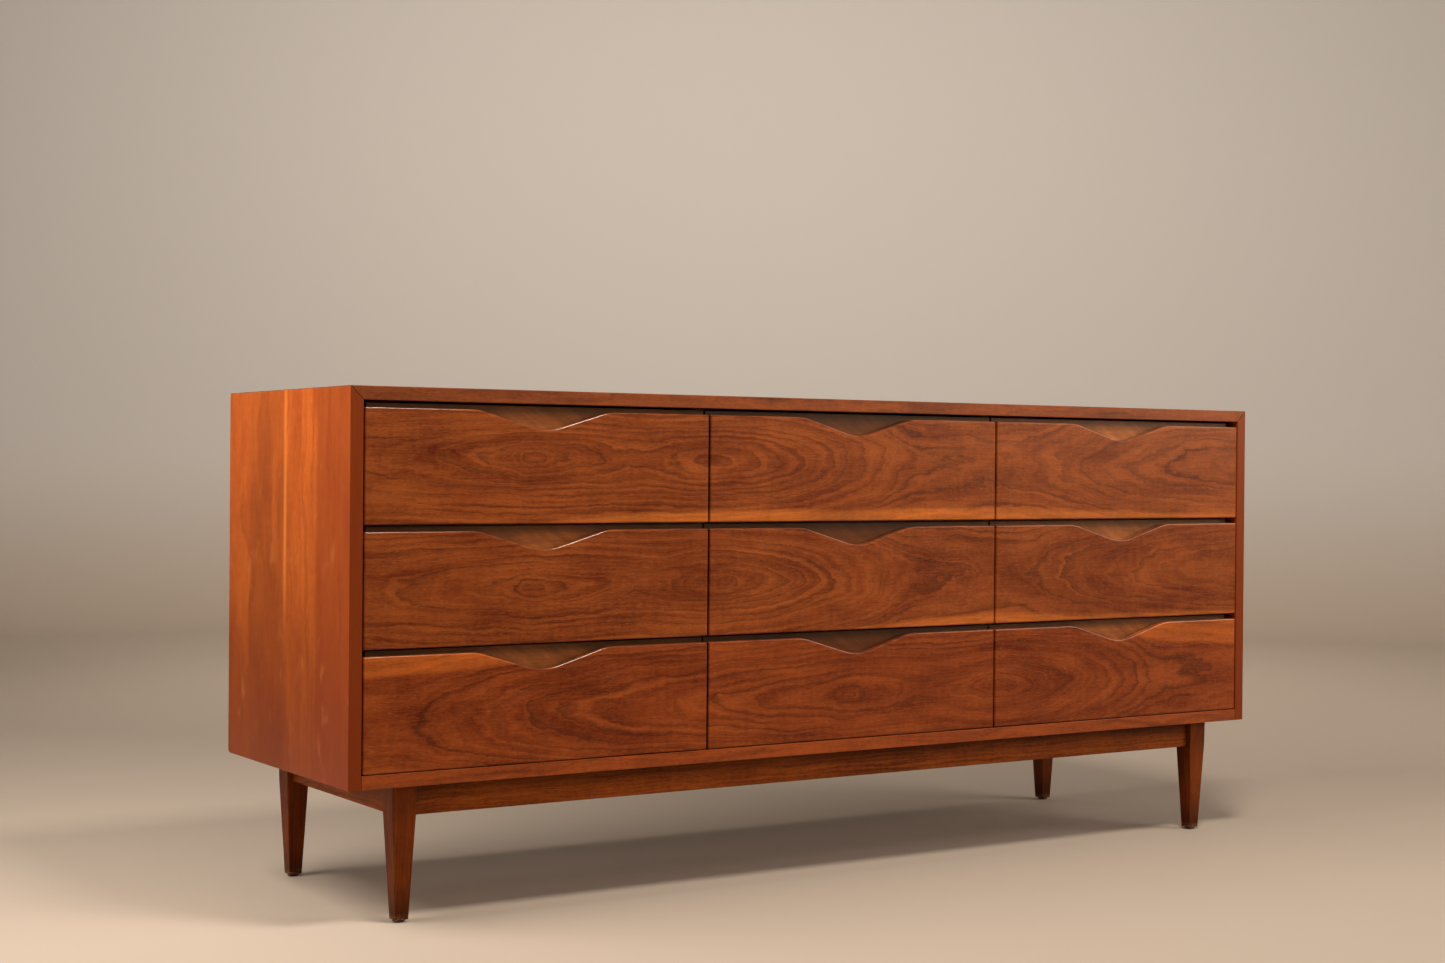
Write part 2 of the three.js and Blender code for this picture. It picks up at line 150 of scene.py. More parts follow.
class Graph:
    """A material and a short way to write its nodes. A value is a number, a colour or a socket."""

    def __init__(self, name):
        self.material = bpy.data.materials.new(name)
        self.material.use_nodes = True
        self.tree = self.material.node_tree
        self.shader = self.tree.nodes["Principled BSDF"]

    def set(self, **values):
        """Feeds the shader's sockets, named with _ for each space."""
        for name, value in values.items():
            self.feed(self.shader.inputs[name.replace("_", " ")], value)

    def feed(self, socket, value):
        if isinstance(value, bpy.types.NodeSocket):
            self.tree.links.new(value, socket)
        else:
            socket.default_value = value

    def node(self, kind, *values, **settings):
        """A node with values fed to its inputs in their order."""
        node = self.tree.nodes.new(kind)
        for name, value in settings.items():
            setattr(node, name, value)
        for socket, value in zip([s for s in node.inputs if s.enabled], values):
            self.feed(socket, value)
        return node

    def math(self, operation, *values):
        return self.node("ShaderNodeMath", *values, operation=operation).outputs[0]

    def span(self, value, low, high, smooth=True):
        """0 at low and 1 at high."""
        kind = "SMOOTHSTEP" if smooth else "LINEAR"
        node = self.node("ShaderNodeMapRange", value, low, high, 0.0, 1.0, interpolation_type=kind)
        return node.outputs[0]

    def vector(self, x, y, z):
        return self.node("ShaderNodeCombineXYZ", x, y, z).outputs[0]

    def noise(self, vector, detail=2.0, roughness=0.5, distortion=0.0):
        node = self.node("ShaderNodeTexNoise")
        self.feed(node.inputs["Vector"], vector)
        self.feed(node.inputs["Scale"], 1.0)
        self.feed(node.inputs["Detail"], detail)
        self.feed(node.inputs["Roughness"], roughness)
        self.feed(node.inputs["Distortion"], distortion)
        return node.outputs["Fac"]

    def mix(self, factor, a, b, blend="MIX"):
        node = self.node("ShaderNodeMix", data_type="RGBA", blend_type=blend)
        self.feed(node.inputs["Factor"], factor)
        self.feed(node.inputs[6], a)
        self.feed(node.inputs[7], b)
        return node.outputs[2]

    def shade(self, colour, amount):
        """The colour made darker or brighter by a grey amount."""
        return self.mix(1.0, colour, self.vector(amount, amount, amount), "MULTIPLY")

    def curve(self, value, points, low, high):
        """A smooth curve through points (x, y), with x and y in the given ranges."""
        (x0, x1), (y0, y1) = low, high
        node = self.node("ShaderNodeFloatCurve")
        self.feed(node.inputs["Value"], self.span(value, x0, x1, smooth=False))
        line = node.mapping.curves[0]
        scaled = [((x - x0) / (x1 - x0), (y - y0) / (y1 - y0)) for x, y in points]
        line.points[0].location, line.points[1].location = scaled[0], scaled[-1]
        for point in scaled[1:-1]:
            line.points.new(*point)
        node.mapping.update()
        return self.math("MULTIPLY_ADD", node.outputs[0], y1 - y0, y0)

    def bump(self, height, distance):
        node = self.node("ShaderNodeBump")
        self.feed(node.inputs["Strength"], 1.0)
        self.feed(node.inputs["Distance"], distance)
        self.feed(node.inputs["Height"], height)
        return node.outputs["Normal"]

    def place(self, along, across):
        """Object coordinates in millimetres: along the grain, across it, and the third way."""
        texture = self.node("ShaderNodeTexCoord").outputs["Object"]
        split = self.node("ShaderNodeSeparateXYZ", texture)
        axes = {name: self.math("MULTIPLY", split.outputs[name], 1 / MM) for name in "XYZ"}
        rest = ({"X", "Y", "Z"} - {along, across}).pop()
        return axes[along], axes[across], axes[rest]


# ---------------------------------------------------------------- wood

# How far the cut lies from the tree's centre, in growth rings, along a leaf of face veneer. Where
# it is near 0 the rings close in eyes, and where it rises or falls they make nested arches.
FIGURE = (
    (0, 4.7), (60, 4.2), (125, 3.4), (205, 2.4), (245, 1.35), (267, 0.1), (296, 1.1), (370, 2.2),
    (450, 3.0), (500, 2.6), (540, 1.8), (580, 1.0), (637, 1.8), (700, 3.2), (800, 6.2), (900, 9.0),
    (1000, 11.2), (1080, 11.4), (1170, 11.9), (1300, 10.4), (1450, 8.0), (1600, 6.0), (1738, 4.9),
)
FIGURE_RINGS = 14  # the top of that curve's range
RING_ACROSS = 8.6  # millimetres from ring to ring across the leaf
EYE = 267  # where along the leaf the rings close round a knot, and their lines are boldest

WALNUT = {
    "light": (0.368, 0.0890, 0.0145, 1),
    "dark": (0.100, 0.0085, 0.0008, 1),
    "line": (0.036, 0.0050, 0.0014, 1),
    "sapwood": (0.57, 0.148, 0.022, 1),
}
FLECK = (0.56, 0.25, 0.085, 1)
CHIPPED = (0.42, 0.19, 0.075, 1)


def wood_grain(
    graph, along, across, depth, rings, tones, seed, line=0.85, fibre=1.0, pores=1.0, bold=0.0
):
    """Colour, relief, streaks and tone of a board, from its ring numbers and its grain's direction.

    line, fibre and pores say how strongly the rings' lines, the fibres and the pores show, and bold
    is 1 where no ring's line may fade away.
    """
    shift = 37.3 * seed

    def cells(length, width, detail, roughness):
        """Noise in cells of a length along the grain and a width across it, in millimetres."""
        place = graph.vector(
            graph.math("MULTIPLY_ADD", along, 1 / length, shift),
            graph.math("MULTIPLY_ADD", across, 1 / width, shift),
            graph.math("MULTIPLY", depth, 1 / width),
        )
        return graph.noise(place, detail=detail, roughness=roughness)

    # The rings wander and have a fine jitter. A ring darkens slowly, and its last part fast.
    wander = cells(120, 36, 3, 0.5)
    jitter = cells(28, 15, 3, 0.55)
    wobble = graph.math("MULTIPLY_ADD", wander, 2.0, graph.math("MULTIPLY", jitter, 0.7))
    ring = graph.math("ADD", rings, wobble)
    phase = graph.math("FRACT", ring)
    number = graph.math("FLOOR", ring)
    soft_band = graph.math("MULTIPLY", graph.span(phase, 0.25, 0.92), graph.span(phase, 1.0, 0.92))
    sharp_band = graph.math("MULTIPLY", graph.span(phase, 0.70, 0.92), graph.span(phase, 1.0, 0.93))
    late = graph.math("MULTIPLY_ADD", sharp_band, 0.42, graph.math("MULTIPLY", soft_band, 0.58))

    # Some rings are strong and others weak, each comes and goes along the grain, and streaks break it.
    slowly = graph.math("MULTIPLY", along, 1 / 420)
    strength = graph.noise(graph.vector(graph.math("MULTIPLY", number, 0.77), shift, slowly))
    strength = graph.math("MAXIMUM", graph.span(strength, 0.36, 0.64), bold)
    streak = cells(45, 2.6, 4, 0.7)
    broken = graph.span(streak, 0.25, 0.62)
    late = graph.math("MULTIPLY", late, graph.math("MULTIPLY_ADD", strength, 0.85, 0.15))
    late = graph.math("MULTIPLY", late, graph.math("MULTIPLY_ADD", broken, -0.35, 1.0))

    # The ground's tone: clouds, a drift that follows the rings, streaks, fibres and cross ripples.
    ring_fine = graph.math("MULTIPLY", ring, 1.9)
    flow = graph.noise(graph.vector(ring_fine, shift, graph.math("MULTIPLY", along, 1 / 240)), 4, 0.6)
    cloud = cells(130, 45, 3, 0.55)
    thread = cells(9, 1.1, 3, 0.7)
    ripple = cells(10, 34, 2, 0.5)
    parts = ((cloud, 0.8), (flow, 1.0), (streak, 0.55 * fibre), (thread, 0.85 * fibre), (ripple, 0.2))
    tone = 0.0
    for noise, weight in parts:
        tone = graph.math("MULTIPLY_ADD", noise, weight, tone)
    middle = 0.5 * sum(weight for _, weight in parts)
    tone = graph.span(tone, middle - 0.36, middle + 0.36, smooth=False)
    colour = graph.mix(tone, tones["dark"], tones["light"])
    colour = graph.mix(graph.math("MULTIPLY", late, line), colour, tones["line"])

    # Pores are short dark dashes, a little denser in the late wood.
    density = graph.math("MULTIPLY_ADD", late, 0.06, graph.math("MULTIPLY", wander, 0.08))
    pore = graph.span(graph.math("ADD", cells(7, 1.2, 1, 0.5), density), 0.66, 0.76)
    colour = graph.mix(graph.math("MULTIPLY", pore, 0.45 * pores), colour, tones["line"])
    relief = graph.math("MULTIPLY_ADD", thread, 0.25, graph.math("MULTIPLY", pore, -0.4 * pores))
    return colour, relief, streak, tone


def finish_wood(graph, colour, relief, streak, roughness=0.36, bump=0.00012, gloss=0.4):
    """Sets the shader: rougher in the streaks, bump from the relief, and a warm sheen."""
    rough = graph.math("MULTIPLY_ADD", streak, 0.16, roughness - 0.08)
    graph.set(Base_Color=colour, Roughness=rough, Normal=graph.bump(relief, bump))
    graph.shader.inputs["Specular IOR Level"].default_value = gloss
    graph.shader.inputs["Specular Tint"].default_value = (1.0, 0.70, 0.42, 1)
    return graph.material


def leaf_rings(graph, along, across, centre):
    """Ring numbers on a leaf of face veneer, about a centre line at a height in the leaf."""
    rise = graph.curve(along, FIGURE, (0, 1738), (0, FIGURE_RINGS))
    aside = graph.math("MULTIPLY", graph.math("SUBTRACT", across, centre), 1 / RING_ACROSS)
    square = graph.math("MULTIPLY", aside, aside)
    return graph.math("SQRT", graph.math("MULTIPLY_ADD", rise, rise, square))


# Each row is one leaf that runs across its three faces. "turn" says how many faces the leaf is
# moved along, "tint" is what its colour is multiplied by, and "centre" is its centre line above
# the faces' lower edge. "sapwood" is the width of the pale band along the row, at the lower or
# the upper edge, as (place along the row, width) in millimetres. The band is absent below zero.
LEAVES = {
    "top": {
        "turn": 0, "tint": (0.94, 0.91, 0.96, 1), "centre": 96, "seed": 1.0, "edge": "lower",
        "sapwood": (
            (0, -12), (230, -6), (330, 6), (500, 15), (800, 17), (1150, 20), (1300, 16), (1738, 7),
        ),
    },
    "middle": {
        "turn": 0, "tint": (0.90, 0.86, 0.94, 1), "centre": 84, "seed": 1.35, "edge": "lower",
        "sapwood": ((0, -20), (700, -16), (850, 0), (1000, 10), (1160, 16), (1350, 9), (1738, 4)),
    },
    "bottom": {
        "turn": 2, "tint": (0.88, 0.74, 0.75, 1), "centre": 72, "seed": 1.7, "edge": "upper",
        "sapwood": (
            (0, 30), (160, 24), (330, 5), (500, -16), (1250, -14), (1400, 8), (1500, 26), (1738, 46),
        ),
    },
}
SAPWOOD_LIMITS = (-24, 60)


def face_material(row):
    """One leaf of figured walnut across a row of faces, with a band of pale sapwood at an edge."""
    leaf = LEAVES[row]
    low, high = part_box(f"face_{row}_centre")
    graph = Graph(f"face_veneer_{row}")
    x, z, y = graph.place("X", "Z")
    strip = graph.math("ADD", x, -STRIP_START / MM)
    face_pitch = STRIP_LENGTH / MM / len(COLUMNS)
    moved = graph.math("ADD", strip, face_pitch * leaf["turn"])
    along = graph.math("MODULO", moved, STRIP_LENGTH / MM)
    across = graph.math("ADD", z, -low.z / MM)
    rings = leaf_rings(graph, along, across, leaf["centre"])
    from_eye = graph.math("ABSOLUTE", graph.math("ADD", along, -EYE))
    bold = graph.math("MULTIPLY", graph.span(rings, 3.2, 1.2), graph.span(from_eye, 180, 130))
    colour, relief, streak, tone = wood_grain(
        graph, along, across, y, rings, WALNUT, leaf["seed"], line=0.68, bold=bold
    )
    band = graph.curve(strip, leaf["sapwood"], (0, STRIP_LENGTH / MM), SAPWOOD_LIMITS)
    from_edge = across
    if leaf["edge"] == "upper":
        from_edge = graph.math("SUBTRACT", (high.z - low.z) / MM, across)
    ragged = graph.noise(
        graph.vector(graph.math("MULTIPLY", strip, 1 / 50), graph.math("MULTIPLY", across, 1 / 5), 3.0)
    )
    border = graph.math("MULTIPLY_ADD", ragged, 8.0, graph.math("SUBTRACT", from_edge, band))
    pale = graph.span(border, 9.5, -1.5)
    pale_tone = graph.math("MULTIPLY_ADD", tone, 0.7, 0.42)
    sap = graph.shade(WALNUT["sapwood"], pale_tone)
    colour = graph.mix(graph.math("MULTIPLY", pale, 0.9), colour, sap)
    colour = graph.mix(1.0, colour, leaf["tint"], "MULTIPLY")
    # Pale flecks along the grain, in patches where the finish has worn.
    seed = leaf["seed"]
    fine = graph.vector(graph.math("MULTIPLY", x, 1 / 11), graph.math("MULTIPLY", z, 1 / 1.5), seed)
    coarse = graph.vector(graph.math("MULTIPLY", x, 1 / 150), graph.math("MULTIPLY", z, 1 / 60), seed)
    flecks = graph.span(graph.noise(fine, 2, 0.6), 0.60, 0.72)
    patches = graph.span(graph.noise(coarse, 2), 0.42, 0.62)
    worn = graph.math("MULTIPLY", flecks, graph.math("MULTIPLY", patches, 0.2))
    colour = graph.mix(worn, colour, FLECK)
    # Lacquer has gathered, and was polished by hands, on the arris along the upper edge.
    normal = graph.node("ShaderNodeTexCoord").outputs["Normal"]
    upward = graph.node("ShaderNodeSeparateXYZ", normal).outputs["Z"]
    graph.set(Coat_Weight=graph.span(upward, 0.2, 0.55), Coat_Roughness=0.19)
    return finish_wood(graph, colour, relief, streak, roughness=0.31, gloss=0.3)


def board_rings(graph, along, across, depth, heart, spacing, seed):
    """Ring numbers in a plain board sawn beside a heart at (across, depth), in millimetres."""
    side, deep = heart
    slow = graph.noise(graph.vector(graph.math("MULTIPLY", along, 1 / 500), seed * 3.1, 0.0), detail=2)
    deep_at = graph.math("MULTIPLY_ADD", slow, 40.0, -deep)
    a = graph.math("MULTIPLY", graph.math("ADD", across, -side), 1 / spacing)
    d = graph.math("MULTIPLY", graph.math("ADD", depth, deep_at), 1 / spacing)
    return graph.math("SQRT", graph.math("MULTIPLY_ADD", a, a, graph.math("MULTIPLY", d, d)))


def board_material(name, grain, face, tones, heart, spacing=7.0, seed=0.0, line=0.5, **finish):
    """A solid board. grain is the axis along the grain and face the axis across the broad face."""
    graph = Graph(name)
    along, across, depth = graph.place(grain, face)
    rings = board_rings(graph, along, across, depth, heart, spacing, seed)
    colour, relief, streak, _ = wood_grain(graph, along, across, depth, rings, tones, seed, line=line)
    return finish_wood(graph, colour, relief, streak, **finish)


def palette(light, dark, line):
    """The colours of a wood: its palest and its darkest ground, and its rings' lines and pores."""
    return {"light": (*light, 1), "dark": (*dark, 1), "line": (*line, 1)}


CASE = palette((0.36, 0.066, 0.0082), (0.130, 0.018, 0.0024), (0.06, 0.009, 0.0020))
TOP = palette((0.30, 0.062, 0.0095), (0.095, 0.0120, 0.0020), (0.036, 0.0050, 0.0014))
SIDE = palette((0.50, 0.108, 0.0130), (0.27, 0.046, 0.0058), (0.13, 0.020, 0.003))
BASE = palette((0.27, 0.0490, 0.0045), (0.088, 0.0135, 0.0015), (0.028, 0.0045, 0.001))
APRON = palette((0.33, 0.072, 0.0070), (0.082, 0.0118, 0.0014), (0.026, 0.004, 0.001))
LIP = palette((0.38, 0.116, 0.026), (0.20, 0.052, 0.0120), (0.09, 0.022, 0.005))
INNER = palette((0.50, 0.31, 0.15), (0.34, 0.19, 0.085), (0.22, 0.11, 0.045))
FRAME = palette((0.42, 0.27, 0.135), (0.29, 0.165, 0.075), (0.19, 0.10, 0.04))

# How bright each stave of a side is, from the front to the back of the case, where its bright
# streak lies, and the heights over which painted shade darkens it downwards, all in millimetres.
STAVES = (
    (-241, 0.40), (-128, 0.38), (-112, 0.60), (-4, 0.64), (12, 0.44), (60, 0.40), (140, 0.42),
    (158, 0.58), (241, 0.56),
)
STREAK_PLACE = 4
SIDE_SHADE_HEIGHTS = (230, 700)
RED_STAVE = (0.33, 0.048, 0.009, 1)
SHADED_FOOT_RED = (0.175, 0.014, 0.0007, 1)
BRIGHT_STREAK = (0.78, 0.235, 0.036, 1)
RUBBED = (0.72, 0.26, 0.075, 1)
EDGING = (0.168, 0.0235, 0.0027, 1)


def side_material():
    """Staves of different tone glued edge to edge, one narrow bright streak, rubbed spots, painted
    shade.
    """
    graph = Graph("case_side")
    z, y, x = graph.place("Z", "Y")
    rings = board_rings(graph, z, y, x, (300, 60), 9.0, 4.2)
    colour, relief, streak, _ = wood_grain(
        graph, z, y, x, rings, SIDE, 4.2, line=0.28, fibre=0.8, pores=0.6
    )
    lean = graph.noise(graph.vector(graph.math("MULTIPLY", z, 1 / 300), 0.0, 5.0))
    place = graph.math("MULTIPLY_ADD", lean, 6.0, graph.math("ADD", y, -3.0))
    stave = graph.curve(place, STAVES, (-241, 241), (0, 1))
    # Painted shade: the side is darker towards the floor, as light falls from above.
    painted_side_shade = graph.math("MULTIPLY_ADD", graph.span(z, SIDE_SHADE_HEIGHTS[0], SIDE_SHADE_HEIGHTS[1], smooth=False), 0.44, 0.54)
    bright = graph.math("MULTIPLY", painted_side_shade, graph.math("MULTIPLY_ADD", stave, 1.1, 0.45))
    colour = graph.shade(colour, bright)
    reddish = graph.math("MULTIPLY", graph.span(place, -112, -128), 0.35)
    colour = graph.mix(reddish, colour, RED_STAVE)
    streak_at = graph.math("ABSOLUTE", graph.math("ADD", place, -STREAK_PLACE))
    glow = graph.math("MULTIPLY", graph.span(streak_at, 10.0, 1.0), graph.span(z, 330, 560))
    colour = graph.mix(graph.math("MULTIPLY", glow, 0.46), colour, BRIGHT_STREAK)
    # Painted shade makes it redder and darker towards the floor, and it is rubbed pale in a few places.
    # Painted shade: mixed towards a dark red below about 480 mm.
    painted_low_shade = graph.math("MULTIPLY", graph.span(z, 480, 215), 0.42)
    colour = graph.mix(painted_low_shade, colour, SHADED_FOOT_RED)
    spots = graph.vector(graph.math("MULTIPLY", z, 1 / 70), graph.math("MULTIPLY", y, 1 / 42), 7.0)
    rubs = graph.noise(spots, 4, 0.6)
    colour = graph.mix(graph.math("MULTIPLY", graph.span(rubs, 0.58, 0.74), 0.2), colour, RUBBED)
    # The front edge is veneered in the darker wood of the drawers' row.
    front = CASE_LOW.y / MM
    edging = graph.span(y, front + 0.9, front + 0.5)
    colour = graph.mix(graph.math("MULTIPLY", edging, 0.8), colour, EDGING)
    return finish_wood(graph, colour, relief, streak, roughness=0.33, bump=0.00005, gloss=0.24)


def panel_material(name, seed):
    """Thin bottom panels: pale rotary-cut ply with the grain across the drawer."""
    graph = Graph(name)
    along, across, depth = graph.place("X", "Y")
    rings = board_rings(graph, along, across, depth, (0, 90), 22.0, seed)
    colour, relief, streak, _ = wood_grain(graph, along, across, depth, rings, INNER, seed, line=0.4)
    return finish_wood(graph, colour, relief, streak, roughness=0.55)


def hardboard_material():
    """Pressed board: felted brown fibres and no grain."""
    graph = Graph("pressed_board")
    x, z, y = graph.place("X", "Z")
    fine = graph.vector(graph.math("MULTIPLY", x, 0.35), graph.math("MULTIPLY", z, 0.35), y)
    coarse = graph.vector(graph.math("MULTIPLY", x, 0.006), graph.math("MULTIPLY", z, 0.006), 2.0)
    felt = graph.noise(fine, 5, 0.7, 0.6)
    cloud = graph.noise(coarse, 3)
    both = graph.math("MULTIPLY_ADD", cloud, 0.7, graph.math("MULTIPLY", felt, 0.6))
    tone = graph.span(both, 0.35, 0.95)
    colour = graph.mix(tone, (0.13, 0.066, 0.030, 1), (0.30, 0.17, 0.085, 1))
    graph.set(Base_Color=colour, Roughness=graph.math("MULTIPLY_ADD", felt, 0.2, 0.6))
    graph.set(Normal=graph.bump(felt, 0.0003))
    return graph.material


def metal_material(name, light, dark, roughness):
    """Dull plated steel, spotted with wear."""
    graph = Graph(name)
    texture = graph.node("ShaderNodeTexCoord").outputs["Object"]
    fine = graph.node("ShaderNodeVectorMath", texture, (400, 400, 400), operation="MULTIPLY")
    spots = graph.noise(fine.outputs[0], 4, 0.65)
    colour = graph.mix(graph.span(spots, 0.42, 0.62), dark, light)
    graph.set(Base_Color=colour, Roughness=graph.math("MULTIPLY_ADD", spots, 0.25, roughness - 0.12))
    graph.shader.inputs["Metallic"].default_value = 1.0
    return graph.material


# ---------------------------------------------------------------- meshes

def new_object(name, mesh, smooth=False):
    """An object that takes over a bmesh."""
    data = bpy.data.meshes.new(name)
    mesh.to_mesh(data)
    mesh.free()
    for polygon in data.polygons:
        polygon.use_smooth = smooth
    piece = bpy.data.objects.new(name, data)
    bpy.context.scene.collection.objects.link(piece)
    return piece


def add_box(mesh, low, high):
    size = Vector(high) - Vector(low)
    middle = (Vector(high) + Vector(low)) / 2
    place = Matrix.Translation(middle) @ Matrix.Diagonal((*size, 1))
    bmesh.ops.create_cube(mesh, size=1, matrix=place)


def add_turned(mesh, place, profile, direction=Vector((0, 0, 1)), around=32):
    """A turned solid from (radius, height) points that start and end on the axis."""
    turn = direction.to_track_quat("Z", "Y").to_matrix().to_4x4()
    to_place = Matrix.Translation(place) @ turn
    rings = []
    for radius, height in profile:
        if radius == 0:
            rings.append([mesh.verts.new(to_place @ Vector((0, 0, height)))])
            continue
        ring = []
        for i in range(around):
            angle = 2 * math.pi * i / around
            point = Vector((radius * math.cos(angle), radius * math.sin(angle), height))
            ring.append(mesh.verts.new(to_place @ point))
        rings.append(ring)
    for lower, upper in zip(rings, rings[1:]):
        for i in range(around):
            j = (i + 1) % around
            if len(lower) == 1:
                mesh.faces.new((lower[0], upper[j], upper[i]))
            elif len(upper) == 1:
                mesh.faces.new((lower[i], lower[j], upper[0]))
            else:
                mesh.faces.new((lower[i], lower[j], upper[j], upper[i]))


def soften(piece, width):
    """Rounds a board's arrises with modifiers only: its flat areas are joined up first."""
    for polygon in piece.data.polygons:
        polygon.use_smooth = True
    weld = piece.modifiers.new("weld", "WELD")
    weld.merge_threshold = 1e-5
    flat = piece.modifiers.new("flat", "DECIMATE")
    flat.decimate_type = "DISSOLVE"
    flat.angle_limit = math.radians(0.5)
    bevel = piece.modifiers.new("arris", "BEVEL")
    bevel.width = width
    bevel.segments = 3
    bevel.limit_method = "ANGLE"
    bevel.angle_limit = math.radians(25)
    bevel.miter_outer = "MITER_ARC"
    normal = piece.modifiers.new("normals", "WEIGHTED_NORMAL")
    normal.weight = 90
    normal.keep_sharp = False


def dress(node, material, width):
    """Gives a CAD node its material and softened arrises."""
    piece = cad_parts[node]
    piece.data.materials.clear()
    piece.data.materials.append(material)
    soften(piece, width)


# ---------------------------------------------------------------- the case and the base

def dress_case():
    top = board_material("case_top", "X", "Y", TOP, (30, 690), 8.0, 2.1, 0.6, roughness=0.5)
    dress("top_board", top, 0.0011)
    side = side_material()
    for hand in HANDS:
        dress(f"side_{hand}", side, 0.0011)
    dress("bottom_board", board_material("case_bottom", "X", "Y", CASE, (-60, 120), 8.0, 3.3), 0.0008)
    dress("back_panel", hardboard_material(), 0.0004)
    divider = board_material("divider_wood", "Z", "Y", FRAME, (0, 40), 9.0, 5.1, roughness=0.6)
    rail = board_material("rail_wood", "X", "Y", FRAME, (-20, 300), 7.0, 6.4, roughness=0.6)
    for hand in HANDS:
        dress(f"divider_{hand}", divider, 0.0006)
    for row in ROWS[1:]:
        for end in ENDS:
            dress(f"rail_{end}_{row}", rail, 0.0006)
    runner = board_material("runner_wood", "Y", "X", INNER, (40, 200), 6.0, 7.7, roughness=0.5)
    for row in ROWS:
        for column in COLUMNS:
            dress(f"runner_{row}_{column}", runner, 0.0008)


def leg_material():
    """Upright grain, darker towards the floor and chipped pale round the foot."""
    graph = Graph("leg_wood")
    z, x, y = graph.place("Z", "X")
    rings = board_rings(graph, z, x, y, (700, 300), 6.0, 8.2)
    colour, relief, streak, _ = wood_grain(graph, z, x, y, rings, BASE, 8.2, line=0.45, pores=0.5)
    height_tone = graph.math("MULTIPLY_ADD", graph.span(z, 5, 70), 0.42, 0.3)
    colour = graph.shade(colour, height_tone)
    spots = graph.vector(graph.math("MULTIPLY", x, 1 / 5), graph.math("MULTIPLY", y, 1 / 5), z)
    chips = graph.span(graph.noise(spots, 3, 0.6), 0.50, 0.60)
    chipped = graph.math("MULTIPLY", chips, graph.span(z, 14, 5))
    colour = graph.mix(graph.math("MULTIPLY", chipped, 0.6), colour, CHIPPED)
    return finish_wood(graph, colour, relief, streak, roughness=0.42, gloss=0.15)


def apron_material(name, grain, far, seed):
    """Level grain, darkened close under the case by painted shade and some grime, paler lower down."""
    graph = Graph(name)
    along, z, depth = graph.place(grain, "Z")
    rings = board_rings(graph, along, z, depth, (60, far), 7.0, seed)
    colour, relief, streak, _ = wood_grain(graph, along, z, depth, rings, APRON, seed, line=0.5)
    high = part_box("apron_front")[1].z / MM
    # Painted shade, with some grime: darker close under the case.
    height_tone = graph.math("MULTIPLY_ADD", graph.span(z, high - 3, high - 34), 0.52, 0.52)
    return finish_wood(graph, graph.shade(colour, height_tone), relief, streak, roughness=0.42, gloss=0.15)


def dress_base():
    leg = leg_material()
    long_apron = apron_material("apron_wood_long", "X", -190, 9.1)
    side_apron = apron_material("apron_wood_side", "Y", -700, 9.6)
    for end in ENDS:
        dress(f"apron_{end}", long_apron, 0.0012)
        for hand in HANDS:
            dress(f"leg_{end}_{hand}", leg, 0.0009)
    for hand in HANDS:
        dress(f"apron_{hand}", side_apron, 0.0012)
    add_glides()
    add_corner_blocks()


# Parts of the glide's radius and height: a flattened dome, a straight rim and the neck in the leg.
GLIDE_PROFILE = (
    (0, 0), (0.55, 0), (0.72, 0.03), (0.86, 0.12), (0.95, 0.27), (1, 0.5), (1, 0.72), (0.93, 0.8),
    (0.93, 1), (0, 1),
)


def add_glides():
    """Domed nail-on glides, with a rim pressed into the leg."""
    metal = metal_material("glide_metal", (0.13, 0.12, 0.11, 1), (0.05, 0.045, 0.04, 1), 0.5)
    for end in ENDS:
        for hand in HANDS:
            node = f"glide_{end}_{hand}"
            low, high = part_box(node)
            radius = (high.x - low.x) / 2
            height = high.z - low.z
            profile = [(r * radius, h * height) for r, h in GLIDE_PROFILE]
            mesh = bmesh.new()
            add_turned(mesh, ((low.x + high.x) / 2, (low.y + high.y) / 2, 0), profile, around=48)
            glide = new_object(f"domed_{node}", mesh, smooth=True)
            glide.data.materials.append(metal)
            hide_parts(node)
            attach(glide, "case")


# Where a corner block's screws are, in parts of its reach from the leg's corner.
BLOCK_SCREWS = ((0.62, 0.30), (0.22, 0.70))


